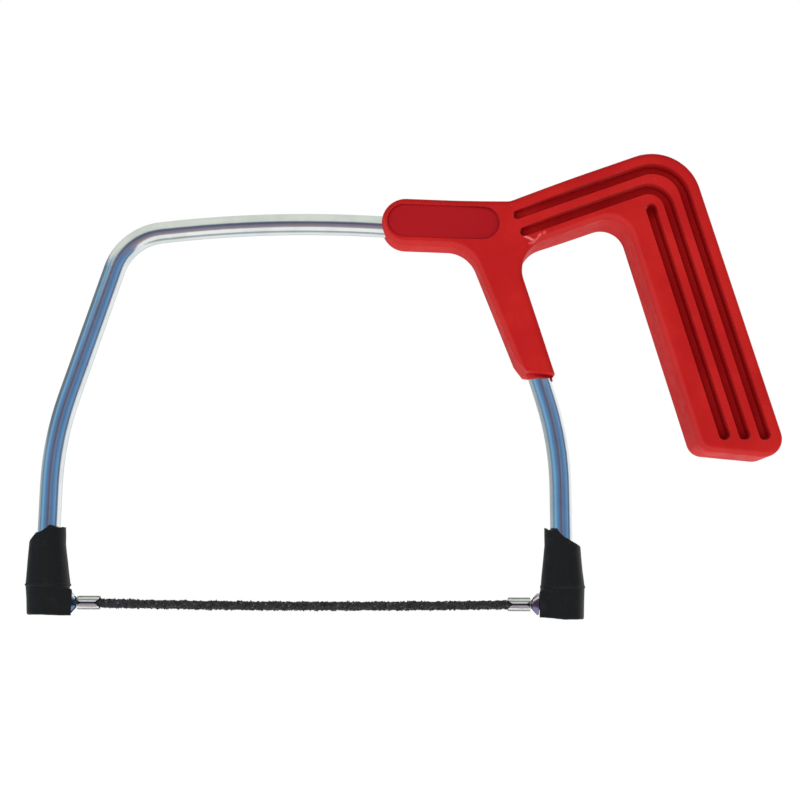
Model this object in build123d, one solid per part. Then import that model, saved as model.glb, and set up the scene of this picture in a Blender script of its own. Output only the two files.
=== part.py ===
from build123d import *
import math
import os

# Small rod saw for tile and pipe: a sprung steel bow, a two-shell plastic handle clamped round it,
# two rubber end boots and a round carbide-grit rod blade.
#
# Working frame: the blade's middle is the origin, X runs along the blade towards the handle,
# Y goes through the thickness and Z is up. write_parts() moves finished parts to the final origin:
# mid length, mid thickness and lowest point. Lengths are millimetres, angles are degrees.

# ---------------------------------------------------------------- driving dimensions
# blade
PIN_SPAN = 150.0  # pin to pin, the standard small hacksaw blade
WIRE_D = 2.0
GRIT_D = 2.7
GRIT_END_GAP = 0.3  # the grit stops this far short of the nose tips
FERRULE_D = 4.3
FERRULE_LENGTH = 7.0
FERRULE_END_GAP = 0.1
SEAM_GAP = 0.4
SEAM_FLARE = 2.4  # width of the seam where it opens at each end
SEAM_FLARE_LENGTH = 1.7
EYE_D = 3.6
EYE_THICKNESS = 1.8
PIN_D = 1.6
PIN_LENGTH = 5.6

# bow
ROD_D = 7.0
NOSE_X = 71.7  # tip of each nose from the blade's middle
NOSE_CHAMFER = 2.2
ELBOW_R = 7.0
LEG_X = 81.85  # leg axis from the blade's middle
LEG_LEAN = 16.8  # upper legs lean inwards by this much
KINK_R = 100.0
KINK_Z = 36.9  # the bend between lower and upper leg starts here
CORNER_R = 18.0
CROWN_R = 400.0
CROWN_Z = 124.6  # rod axis at the top of the bow
SLOT_WIDTH = 2.2  # saw cut in the nose that takes the blade's eye
SLOT_TOP = 2.0
EYE_ROOM = 0.4  # free length behind the eye in the saw cut
PIN_GROOVE_WIDTH = 1.8

# boots
BOOT_BOTTOM_Z = -3.9
BOOT_BOTTOM_D = 13.2
BOOT_PART_Z = 5.5  # widest section, where the mould halves meet
BOOT_PART_D = 13.8
BOOT_COLLAR_Z = 18.5
BOOT_COLLAR_D = 11.4
BOOT_TOP_OUTER_Z = 18.7
BOOT_TOP_INNER_Z = 24.0
BOOT_CAVITY_D = 10.6
BOOT_CAVITY_TOP = 8.5
BOOT_NOTCH_R = 4.0
BOOT_RIM_R = 0.5
BOOT_MOUTH_REACH = 7.0  # flat face round the nose, from the leg's axis
BOOT_MOUTH_HALF = 5.3
BOOT_MOUTH_TOP = 4.6
BOOT_MOUTH_R = 1.2
FLASH_WIDTH = 0.25
FLASH_HEIGHT = 0.3

# handle outline
BAR_ANGLE = 19.9
GRIP_ANGLE = -74.2
ARM_ANGLE = -2.0
END_ANGLE = -5.3  # slope of the cut-off ends of the grip and of the leg
OUTER_CORNER = (123.7, 152.0)  # where the bar's top edge and the grip's back edge would cross
BAR_HEIGHT = 16.4
GRIP_WIDTH = 26.5
ARM_END_X = 23.9
ARM_AXIS_Z = 124.7  # arm centreline at its rounded end
ARM_HEIGHT = 15.9
LEG_WALL_BACK = 0.8
LEG_WALL_FRONT = 2.2
LEG_FRONT_ANGLE = -68.7
LEG_END_Z = 73.4  # leg's end where the rod's axis leaves it
LEG_CORNER_CUT = (1.8, 4.0)  # along the end and up the front edge
GRIP_END = (138.3, 47.1)  # a point on the grip's end
OUTER_CORNER_R = 16.0
INNER_CORNER_R = 8.0
GRIP_END_BACK_R = 6.0
GRIP_END_FRONT_R = 5.0
CROTCH_R = 10.5
ARM_THROAT_R = 10.5
SADDLE_R = 5.0
FACE_EDGE_R = 2.2
ROUND_END_SLACK = 0.01  # keeps the two arcs of the arm's round end from meeting in one point

# handle thickness: thin along the arm, thick in the grip
ARM_HALF = 5.6
GRIP_HALF = 8.9
SWELL_START_X = 44.5
SWELL_END_X = 92.5

# grooves and label recess, on both faces
GROOVE_WIDTH = 3.1  # at half depth
GROOVE_DRAFT = 13.0
GROOVE_FLOOR = 5.6  # distance of every groove floor from the joint plane
GROOVE_OFFSETS = (5.6, 11.8, 17.9)  # in from the bar's top edge and from the grip's back edge
GROOVE_START_X = (68.4, 70.6)  # left ends of the outer and middle groove
GROOVE_BEND_R = (11.0, 7.0)
GROOVE_END_Z = 53.4
INNER_GROOVE_TOP_Z = 127.6
LABEL_LENGTH = 37.0
LABEL_HEIGHT = 11.3
LABEL_X = 44.2
LABEL_FLOOR = 5.25

# inside of the handle
ROD_CLEARANCE = 0.05
WALL = 3.0
POCKET_DEPTH = 3.4
COLUMN_D = 8.4
SCREW_D = 2.9
SCREW_HEAD_D = 5.6
SCREW_HEAD_HEIGHT = 1.9
SCREW_HEAD_R = 1.05
SCREW_WELL_D = 6.6
SCREW_WELL_WALL = 1.1
SCREW_SEAT = 4.0  # head seat above the joint plane
SCREW_LENGTH = 8.6
SCREW_POINT_LENGTH = 1.2
SCREW_TIP_R = 0.1
DRIVE_WIDTH = 0.8
DRIVE_SPAN = 3.2
DRIVE_DEPTH = 1.0
PILOT_CLEARANCE = 0.03
SHANK_CLEARANCE = 0.12
PEG_D = 2.6
PEG_LENGTH = 2.4
PEG_CLEARANCE = 0.06

# screws and pegs, by distance from the outer corner
SCREWS_ON_BAR = {"bar_screw": 46.0}
SCREWS_ON_GRIP = {"corner_screw": 14.5, "grip_screw": 57.0, "grip_end_screw": 94.0}
PEGS_ON_BAR = (28.0,)
PEGS_ON_GRIP = (36.0, 76.0)

EPS = 1.0  # how far cutting tools run past the face that they cut
PARALLEL = 0.1  # sine of the angle under which two directions count as parallel
EXACTLY_PARALLEL = 0.01
REACH = 300.0  # more than the whole tool's length, for half spaces


# ---------------------------------------------------------------- plane geometry in X and Z
def step(point, angle, distance):
    """The point reached from point after distance at angle."""
    return (
        point[0] + distance * math.cos(math.radians(angle)),
        point[1] + distance * math.sin(math.radians(angle)),
    )


def meet(point_a, angle_a, point_b, angle_b):
    """Where the line through point_a at angle_a crosses the line through point_b at angle_b."""
    turn = math.sin(math.radians(angle_b - angle_a))
    dx = point_b[0] - point_a[0]
    dz = point_b[1] - point_a[1]
    along = dx * math.sin(math.radians(angle_b)) - dz * math.cos(math.radians(angle_b))
    return step(point_a, angle_a, along / turn)


def slab(shape_2d, y_low, y_high):
    """A sketch drawn in X and Z, extruded from y_low to y_high."""
    return extrude(Pos(0, y_high, 0) * (Plane.XZ * shape_2d), amount=y_high - y_low)


def y_rod(point, diameter, y_low, y_high):
    """A round bar parallel to Y."""
    return slab(Pos(point[0], point[1]) * Circle(diameter / 2), y_low, y_high)


def x_rod(diameter, x_low, x_high):
    """A round bar on the blade's axis."""
    return extrude(Pos(x_low, 0, 0) * (Plane.YZ * Circle(diameter / 2)), amount=x_high - x_low)


def z_rod(x, diameter, z_low, z_high):
    """An upright round bar."""
    return extrude(Pos(x, 0, z_low) * Circle(diameter / 2), amount=z_high - z_low)


def polygon(*points):
    """A closed face from corner points."""
    return make_face(Polyline(*points, close=True))


def rounded_polygon(corners):
    """A face from (point, corner radius) pairs."""
    points = [point for point, _ in corners]
    radii = [radius for _, radius in corners]
    return make_face(FilletPolyline(*points, radius=radii, close=True))


def both_ends(shape):
    """The shape at the rear end and its mirror image at the front end."""
    return shape, mirror(shape, about=Plane.YZ)


# ---------------------------------------------------------------- bow
def rod_axis_half():
    """Rod axis from the crown's middle to the tip of the rear nose."""
    lean = math.radians(LEG_LEAN)
    kink_top = (LEG_X - KINK_R * (1 - math.cos(lean)), KINK_Z + KINK_R * math.sin(lean))
    # The corner arc touches the leaning leg from inside and the crown arc from inside.
    up = Vector(-math.sin(lean), math.cos(lean))
    inwards = Vector(-math.cos(lean), -math.sin(lean))
    crown_centre = Vector(0, CROWN_Z - CROWN_R)
    start = Vector(*kink_top) + inwards * CORNER_R - crown_centre
    reach = CROWN_R - CORNER_R
    along = start.dot(up)
    rise = math.sqrt(along**2 - start.length**2 + reach**2) - along
    corner_centre = start + up * rise
    crown_turn = math.degrees(math.atan2(corner_centre.X, corner_centre.Y))

    crown = JernArc((0, CROWN_Z), (1, 0), CROWN_R, -crown_turn)
    corner = JernArc(crown @ 1, crown % 1, CORNER_R, -(90 - LEG_LEAN - crown_turn))
    upper_leg = Line(corner @ 1, kink_top)
    kink = JernArc(upper_leg @ 1, upper_leg % 1, KINK_R, -LEG_LEAN)
    lower_leg = Line(kink @ 1, (LEG_X, ELBOW_R))
    elbow = JernArc(lower_leg @ 1, lower_leg % 1, ELBOW_R, -90)
    nose = Line(elbow @ 1, (NOSE_X, 0))
    return Plane.XZ * Wire([crown, corner, upper_leg, kink, lower_leg, elbow, nose])


def rod_body(diameter):
    """The bent rod, or the channel that it lies in, both halves in one."""
    axis = rod_axis_half()
    section = Plane(origin=axis @ 0, z_dir=axis % 0) * Circle(diameter / 2)
    rear, front = both_ends(sweep(section, path=axis))
    return rear + front


def nose_cuts():
    """Saw cut for the blade's eye and cross groove for its pin, both open downwards."""
    pin_x = PIN_SPAN / 2
    slot_start = NOSE_X - EPS
    slot_end = pin_x + EYE_D / 2 + EYE_ROOM
    slot = Pos((slot_start + slot_end) / 2, 0, (SLOT_TOP - ROD_D) / 2) * Box(
        slot_end - slot_start, SLOT_WIDTH, SLOT_TOP + ROD_D
    )
    groove = Pos(pin_x, 0, -ROD_D / 2) * Box(PIN_GROOVE_WIDTH, 2 * ROD_D, ROD_D)
    groove += y_rod((pin_x, 0), PIN_GROOVE_WIDTH, -ROD_D, ROD_D)
    return slot + groove


def frame_rod():
    """The bow: its two nose tips are its only flat faces, and both are chamfered."""
    rod = rod_body(ROD_D)
    rod = chamfer(rod.faces().filter_by(GeomType.PLANE).edges(), NOSE_CHAMFER)
    for cut in both_ends(nose_cuts()):
        rod -= cut
    return rod


# ---------------------------------------------------------------- boots
def boot_blank():
    """Outside of the rear boot: two tapers meeting at the mould line, and an oblique top."""
    sections = (
        (BOOT_BOTTOM_Z, BOOT_BOTTOM_D),
        (BOOT_PART_Z, BOOT_PART_D),
        (BOOT_COLLAR_Z, BOOT_COLLAR_D),
        (BOOT_TOP_INNER_Z + EPS, BOOT_COLLAR_D),
    )
    circles = [Pos(LEG_X, 0, z) * Circle(diameter / 2) for z, diameter in sections]
    body = loft(circles, ruled=True)
    body = fillet(body.faces().sort_by(Axis.Z)[0].edges(), BOOT_RIM_R)
    mouth_height = BOOT_MOUTH_TOP - BOOT_BOTTOM_Z
    mouth = Pos(LEG_X - BOOT_MOUTH_REACH / 2, 0, BOOT_BOTTOM_Z + mouth_height / 2) * Box(
        BOOT_MOUTH_REACH, 2 * BOOT_MOUTH_HALF, mouth_height
    )
    mouth_face = mouth.faces().sort_by(Axis.X)[0]
    body += fillet(mouth_face.edges() - mouth.faces().sort_by(Axis.Z)[0].edges(), BOOT_MOUTH_R)
    flash_d = BOOT_PART_D + 2 * FLASH_WIDTH
    body += z_rod(LEG_X, flash_d, BOOT_PART_Z - FLASH_HEIGHT / 2, BOOT_PART_Z + FLASH_HEIGHT / 2)

    inner_top = (LEG_X - BOOT_COLLAR_D / 2, BOOT_TOP_INNER_Z)
    outer_top = (LEG_X + BOOT_COLLAR_D / 2, BOOT_TOP_OUTER_Z)
    fall = math.degrees(math.atan2(outer_top[1] - inner_top[1], BOOT_COLLAR_D))
    start = step(inner_top, fall, -EPS)
    end = step(outer_top, fall, EPS)
    above = BOOT_TOP_INNER_Z + 2 * EPS
    body -= slab(polygon(start, (start[0], above), (end[0], above), end), -ROD_D, ROD_D)
    return body


def boot():
    """Rubber boot of the rear leg, bored for the leg and hollow round the elbow."""
    bore = z_rod(LEG_X, ROD_D + 2 * ROD_CLEARANCE, 0, BOOT_TOP_INNER_Z + EPS)
    cup = z_rod(LEG_X, BOOT_CAVITY_D, BOOT_BOTTOM_Z - EPS, BOOT_CAVITY_TOP)
    # the notch lets the boot slide up past the nose
    notch_start = LEG_X - BOOT_PART_D
    notch = x_rod(2 * BOOT_NOTCH_R, notch_start, LEG_X)
    notch += Pos((notch_start + LEG_X) / 2, 0, -BOOT_NOTCH_R) * Box(
        BOOT_PART_D, 2 * BOOT_NOTCH_R, 2 * BOOT_NOTCH_R
    )
    return boot_blank() - bore - cup - notch


# ---------------------------------------------------------------- blade
def blade_wire():
    """Core wire with a flattened eye at each end."""
    pin_x = PIN_SPAN / 2
    wire = x_rod(WIRE_D, -pin_x, pin_x)
    for x in (-pin_x, pin_x):
        wire += y_rod((x, 0), EYE_D, -EYE_THICKNESS / 2, EYE_THICKNESS / 2)
        wire -= y_rod((x, 0), PIN_D, -PIN_LENGTH, PIN_LENGTH)
    return wire


def grit_coating():
    """Sleeve of bonded grit round the core wire."""
    reach = NOSE_X - GRIT_END_GAP
    return x_rod(GRIT_D, -reach, reach) - x_rod(WIRE_D, -reach, reach)


def ferrule():
    """Sheet sleeve rolled round the end of the rod, its seam open towards the front."""
    outer_x = NOSE_X - FERRULE_END_GAP
    inner_x = outer_x - FERRULE_LENGTH
    sleeve = x_rod(FERRULE_D, inner_x, outer_x) - x_rod(GRIT_D, inner_x, outer_x)
    gap = SEAM_GAP / 2
    flare = SEAM_FLARE / 2
    seam = polygon(
        (inner_x, -flare),
        (inner_x + SEAM_FLARE_LENGTH, -gap),
        (outer_x - SEAM_FLARE_LENGTH, -gap),
        (outer_x, -flare),
        (outer_x, flare),
        (outer_x - SEAM_FLARE_LENGTH, gap),
        (inner_x + SEAM_FLARE_LENGTH, gap),
        (inner_x, flare),
    )
    return sleeve - slab(seam, -FERRULE_D, 0)


def anchor_pin():
    """Cross pin through the blade's rear eye."""
    return y_rod((PIN_SPAN / 2, 0), PIN_D, -PIN_LENGTH / 2, PIN_LENGTH / 2)


# ---------------------------------------------------------------- handle outline
def leg_axis_end():
    """Where the rod's axis leaves the handle's leg."""
    lean = math.radians(LEG_LEAN)
    kink_top_x = LEG_X - KINK_R * (1 - math.cos(lean))
    kink_top_z = KINK_Z + KINK_R * math.sin(lean)
    return (kink_top_x - (LEG_END_Z - kink_top_z) * math.tan(lean), LEG_END_Z)


def outline_lines():
    """The straight edges of the handle, each as (point, angle)."""
    leg_angle = LEG_LEAN - 90
    leg_axis = leg_axis_end()
    arm_end = (ARM_END_X, ARM_AXIS_Z)
    return {
        "arm_top": (step(arm_end, ARM_ANGLE + 90, ARM_HEIGHT / 2), ARM_ANGLE),
        "arm_end": (arm_end, ARM_ANGLE + 90),
        "arm_bottom": (step(arm_end, ARM_ANGLE - 90, ARM_HEIGHT / 2), ARM_ANGLE),
        "bar_top": (OUTER_CORNER, BAR_ANGLE),
        "bar_bottom": (step(OUTER_CORNER, BAR_ANGLE - 90, BAR_HEIGHT), BAR_ANGLE),
        "grip_back": (OUTER_CORNER, GRIP_ANGLE),
        "grip_front": (step(OUTER_CORNER, GRIP_ANGLE - 90, GRIP_WIDTH), GRIP_ANGLE),
        "grip_end": (GRIP_END, END_ANGLE),
        "leg_back": (step(leg_axis, leg_angle + 90, ROD_D / 2 + LEG_WALL_BACK), leg_angle),
        "leg_front": (step(leg_axis, leg_angle - 90, ROD_D / 2 + LEG_WALL_FRONT), LEG_FRONT_ANGLE),
        "leg_end": (leg_axis, END_ANGLE),
    }


def crossing(a, b):
    """Where two of the outline's straight edges cross."""
    lines = outline_lines()
    return meet(*lines[a], *lines[b])


def handle_face():
    """The handle's outline in X and Z."""
    heel = crossing("leg_front", "leg_end")
    cut_along, cut_up = LEG_CORNER_CUT
    arm_end_r = ARM_HEIGHT / 2 - ROUND_END_SLACK
    corners = [
        (crossing("arm_end", "arm_top"), arm_end_r),
        (crossing("arm_top", "bar_top"), SADDLE_R),
        (OUTER_CORNER, OUTER_CORNER_R),
        (crossing("grip_back", "grip_end"), GRIP_END_BACK_R),
        (crossing("grip_end", "grip_front"), GRIP_END_FRONT_R),
        (crossing("grip_front", "bar_bottom"), INNER_CORNER_R),
        (crossing("bar_bottom", "leg_back"), CROTCH_R),
        (crossing("leg_back", "leg_end"), 0),
        (step(heel, END_ANGLE, cut_along), 0),
        (step(heel, LEG_FRONT_ANGLE, -cut_up), 0),
        (crossing("leg_front", "arm_bottom"), ARM_THROAT_R),
        (crossing("arm_bottom", "arm_end"), arm_end_r),
    ]
    return rounded_polygon(corners)


def groove_axes():
    """Centrelines of the three grooves in X and Z."""
    bar_starts = [step(OUTER_CORNER, BAR_ANGLE - 90, offset_in) for offset_in in GROOVE_OFFSETS]
    grip_starts = [step(OUTER_CORNER, GRIP_ANGLE - 90, offset_in) for offset_in in GROOVE_OFFSETS]
    ends = [meet(start, GRIP_ANGLE, (0, GROOVE_END_Z), 0) for start in grip_starts]
    axes = []
    for number, (start_x, bend_r) in enumerate(zip(GROOVE_START_X, GROOVE_BEND_R)):
        start = meet(bar_starts[number], BAR_ANGLE, (start_x, 0), 90)
        bend = meet(bar_starts[number], BAR_ANGLE, grip_starts[number], GRIP_ANGLE)
        axes.append(FilletPolyline(start, bend, ends[number], radius=bend_r))
    inner_top = meet(grip_starts[-1], GRIP_ANGLE, (0, INNER_GROOVE_TOP_Z), 0)
    axes.append(Line(inner_top, ends[-1]))
    return axes


def round_ended_band(axis, width):
    """A band along axis, with round ends."""
    band = trace(axis, line_width=width)
    for end in (axis @ 0, axis @ 1):
        band += Pos(end.X, end.Y) * Circle(width / 2)
    return band


def groove_cut(axis, side):
    """Groove with sloping walls, cut from one face of the handle."""
    depth = GRIP_HALF - GROOVE_FLOOR
    spread = depth * math.tan(math.radians(GROOVE_DRAFT))
    floor = Pos(0, side * GROOVE_FLOOR, 0) * (Plane.XZ * round_ended_band(axis, GROOVE_WIDTH - spread))
    return extrude(floor, amount=depth + EPS, dir=(0, side, 0), taper=-GROOVE_DRAFT)


def label_face():
    """Outline of the plain label recess on the arm."""
    arm_axis = meet((ARM_END_X, ARM_AXIS_Z), ARM_ANGLE, (LABEL_X, 0), 90)
    return Pos(*arm_axis) * Rot(0, 0, ARM_ANGLE) * SlotOverall(LABEL_LENGTH, LABEL_HEIGHT)


# ---------------------------------------------------------------- handle body
def thickness_block():
    """Block between the handle's front and rear surfaces: thin at the arm, swelling to the grip."""
    swell = Spline(
        (SWELL_START_X, ARM_HALF), (SWELL_END_X, GRIP_HALF), tangents=[(1, 0), (1, 0)]
    )
    profile = Wire(
        [
            Line((0, 0), (0, ARM_HALF)),
            Line((0, ARM_HALF), (SWELL_START_X, ARM_HALF)),
            swell,
            Line((SWELL_END_X, GRIP_HALF), (REACH, GRIP_HALF)),
            Line((REACH, GRIP_HALF), (REACH, 0)),
            Line((REACH, 0), (0, 0)),
        ]
    )
    half = extrude(make_face(profile), amount=REACH)
    return half + mirror(half, about=Plane.XZ)


def handle_blank():
    """Solid handle with its face edges rounded."""
    blank = slab(handle_face(), -REACH, REACH) & thickness_block()

    def on_rim(edge):
        """Not a corner edge along Y, a seam where the swell starts or ends, or the leg's sharp end."""
        along = edge.tangent_at(0.5)
        is_corner = along.cross(Vector(0, 1, 0)).length < PARALLEL
        is_seam = along.cross(Vector(0, 0, 1)).length < EXACTLY_PARALLEL
        on_leg_end = edge.center().X < SWELL_END_X and edge.center().Z < LEG_END_Z + LEG_CORNER_CUT[1]
        return not (is_corner or is_seam or on_leg_end)

    return fillet(blank.edges().filter_by(on_rim), FACE_EDGE_R)


def fastening_places(on_bar, on_grip):
    """Points on the middle line of the bar and of the grip, at distances from the outer corner."""
    bar_middle = step(OUTER_CORNER, BAR_ANGLE - 90, BAR_HEIGHT / 2)
    grip_middle = step(OUTER_CORNER, GRIP_ANGLE - 90, GRIP_WIDTH / 2)
    return [step(bar_middle, BAR_ANGLE, -distance) for distance in on_bar] + [
        step(grip_middle, GRIP_ANGLE, distance) for distance in on_grip
    ]


SCREW_PLACES = fastening_places(SCREWS_ON_BAR.values(), SCREWS_ON_GRIP.values())
SCREW_NAMES = list(SCREWS_ON_BAR) + list(SCREWS_ON_GRIP)
PEG_PLACES = fastening_places(PEGS_ON_BAR, PEGS_ON_GRIP)


def from_depth(shape_2d, side, depth):
    """A sketch extruded from depth out past the face, on one side of the joint plane."""
    return slab(shape_2d, *sorted((side * depth, side * REACH)))


def pocket(side):
    """Hollow of one shell inside the bar and grip, leaving columns for the screws and pegs."""
    bar_and_grip = Rectangle(REACH, REACH, align=(Align.MIN, Align.CENTER))
    bar_and_grip = Pos(*crossing("bar_bottom", "leg_back")) * Rot(0, 0, BAR_ANGLE) * bar_and_grip
    outline = offset(handle_face(), amount=-WALL) & bar_and_grip
    hollow = slab(outline, *sorted((0, side * POCKET_DEPTH)))
    for place in SCREW_PLACES + PEG_PLACES:
        hollow -= y_rod(place, COLUMN_D, -REACH, REACH)
    return hollow


def shell(side):
    """One half of the handle. side is -1 for the front shell and 1 for the rear shell."""
    blank = handle_blank()
    half_space = Pos(0, side * REACH / 2, 0) * Box(2 * REACH, REACH, 2 * REACH)
    body = blank & half_space
    for axis in groove_axes():
        body -= groove_cut(axis, side)
    body -= from_depth(label_face(), side, LABEL_FLOOR)
    body -= rod_body(ROD_D + 2 * ROD_CLEARANCE)
    body -= pocket(side)
    if side < 0:
        return front_fastenings(body)
    return rear_fastenings(body, blank)


def front_fastenings(body):
    """Screw pilots and locating pegs of the front shell."""
    pilot_end = SCREW_SEAT - SCREW_LENGTH - PILOT_CLEARANCE
    for place in SCREW_PLACES:
        body -= y_rod(place, SCREW_D + 2 * PILOT_CLEARANCE, pilot_end, EPS)
    for place in PEG_PLACES:
        body += y_rod(place, PEG_D, -POCKET_DEPTH, PEG_LENGTH)
    return body


def rear_fastenings(body, blank):
    """Screw wells and peg sockets of the rear shell. A well stands in its own solid column."""
    for place in SCREW_PLACES:
        column = y_rod(place, SCREW_WELL_D + 2 * SCREW_WELL_WALL, POCKET_DEPTH, REACH)
        body += column & blank
        body -= y_rod(place, SCREW_D + 2 * SHANK_CLEARANCE, -EPS, REACH)
        body -= y_rod(place, SCREW_WELL_D, SCREW_SEAT, REACH)
    for place in PEG_PLACES:
        body -= y_rod(place, PEG_D + 2 * PEG_CLEARANCE, -EPS, PEG_LENGTH + PEG_CLEARANCE)
    return body


def screw(place):
    """Pan-head self-tapping screw with a cross recess, head towards the rear."""
    shank = y_rod(place, SCREW_D, SCREW_SEAT - SCREW_LENGTH, SCREW_SEAT + SCREW_HEAD_HEIGHT / 2)
    point = shank.edges().filter_by(GeomType.CIRCLE).sort_by(Axis.Y)[0]
    shank = chamfer(point, SCREW_POINT_LENGTH, SCREW_D / 2 - SCREW_TIP_R)
    top = SCREW_SEAT + SCREW_HEAD_HEIGHT
    head = y_rod(place, SCREW_HEAD_D, SCREW_SEAT, top)
    rim = head.edges().filter_by(GeomType.CIRCLE).sort_by(Axis.Y)[-1]
    cross = Rectangle(DRIVE_SPAN, DRIVE_WIDTH) + Rectangle(DRIVE_WIDTH, DRIVE_SPAN)
    recess = slab(Pos(*place) * cross, top - DRIVE_DEPTH, top + EPS)
    return shank + fillet(rim, SCREW_HEAD_R) - recess


# ---------------------------------------------------------------- assembly
def build_parts():
    rear_boot, front_boot = both_ends(boot())
    rear_ferrule, front_ferrule = both_ends(ferrule())
    rear_pin, front_pin = both_ends(anchor_pin())
    parts = {
        "frame_rod": frame_rod(),
        "handle_front_shell": shell(-1),
        "handle_rear_shell": shell(1),
        "front_boot": front_boot,
        "rear_boot": rear_boot,
        "blade_wire": blade_wire(),
        "grit_coating": grit_coating(),
        "front_ferrule": front_ferrule,
        "rear_ferrule": rear_ferrule,
        "front_anchor_pin": front_pin,
        "rear_anchor_pin": rear_pin,
    }
    for name, place in zip(SCREW_NAMES, SCREW_PLACES):
        parts[name] = screw(place)
    return parts


def write_parts(parts):
    """Moves every part to the final origin and writes it."""
    solids = {name: Compound(part.solids()) for name, part in parts.items()}
    boxes = [solid.bounding_box() for solid in solids.values()]
    middle_x = (min(box.min.X for box in boxes) + max(box.max.X for box in boxes)) / 2
    lowest_z = min(box.min.Z for box in boxes)
    origin = Pos(-middle_x, 0, -lowest_z)
    os.makedirs("parts", exist_ok=True)
    for name, solid in solids.items():
        moved = origin * solid
        moved.label = name
        export_step(moved, os.path.join("parts", name + ".step"))


write_parts(build_parts())
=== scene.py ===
import math

import bmesh
import bpy
from mathutils import Matrix, Vector, noise


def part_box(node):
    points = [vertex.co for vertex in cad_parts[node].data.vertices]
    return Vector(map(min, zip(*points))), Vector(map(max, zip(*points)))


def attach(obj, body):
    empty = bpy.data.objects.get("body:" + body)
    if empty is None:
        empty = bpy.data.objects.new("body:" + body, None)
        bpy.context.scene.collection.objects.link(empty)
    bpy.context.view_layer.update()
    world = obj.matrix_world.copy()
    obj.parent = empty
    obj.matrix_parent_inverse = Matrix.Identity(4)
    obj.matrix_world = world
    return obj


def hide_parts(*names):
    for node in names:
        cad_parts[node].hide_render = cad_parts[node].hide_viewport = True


# Looks of the rod saw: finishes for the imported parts, rubber boots and a grit rod as detailed meshes,
# a pale floor, a soft studio and the camera. Lengths are metres; MM makes millimetres readable.

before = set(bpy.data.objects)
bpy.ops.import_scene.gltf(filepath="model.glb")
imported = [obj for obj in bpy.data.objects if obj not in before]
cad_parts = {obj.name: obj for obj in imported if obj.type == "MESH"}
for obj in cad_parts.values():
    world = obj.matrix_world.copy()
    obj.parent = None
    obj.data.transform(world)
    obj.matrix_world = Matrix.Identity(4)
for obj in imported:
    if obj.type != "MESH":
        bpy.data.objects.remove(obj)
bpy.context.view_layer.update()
MM = 0.001
UP = Vector((0, 0, 1))


# ---------------------------------------------------------------- places, worked out from the frame
def middle(node):
    """Centre of a node's box."""
    low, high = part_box(node)
    return (low + high) / 2


HANDLE_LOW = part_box("handle_front_shell")[0]
ROD_LOW, ROD_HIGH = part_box("frame_rod")
BLADE_MIDDLE = (middle("front_anchor_pin") + middle("rear_anchor_pin")) / 2
ROD_R = (ROD_HIGH.y - ROD_LOW.y) / 2


def handle_point(x, z):
    """A point of the handle on the joint plane, from millimetres right of and above its box's corner."""
    return Vector((HANDLE_LOW.x + x * MM, 0, HANDLE_LOW.z + z * MM))


def between(stops, share):
    """Value at share on the broken line through stops."""
    for (start, low), (end, high) in zip(stops, stops[1:]):
        if share <= end:
            return low + (high - low) * max(0.0, share - start) / (end - start)
    return stops[-1][1]


def clamp(value):
    return min(1.0, max(0.0, value))


# ---------------------------------------------------------------- colour and node helpers
def srgb(red, green, blue):
    """Linear colour from 8-bit display values."""
    linear = []
    for value in (red, green, blue):
        share = value / 255
        linear.append(share / 12.92 if share <= 0.04045 else ((share + 0.055) / 1.055) ** 2.4)
    return (*linear, 1.0)


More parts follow.
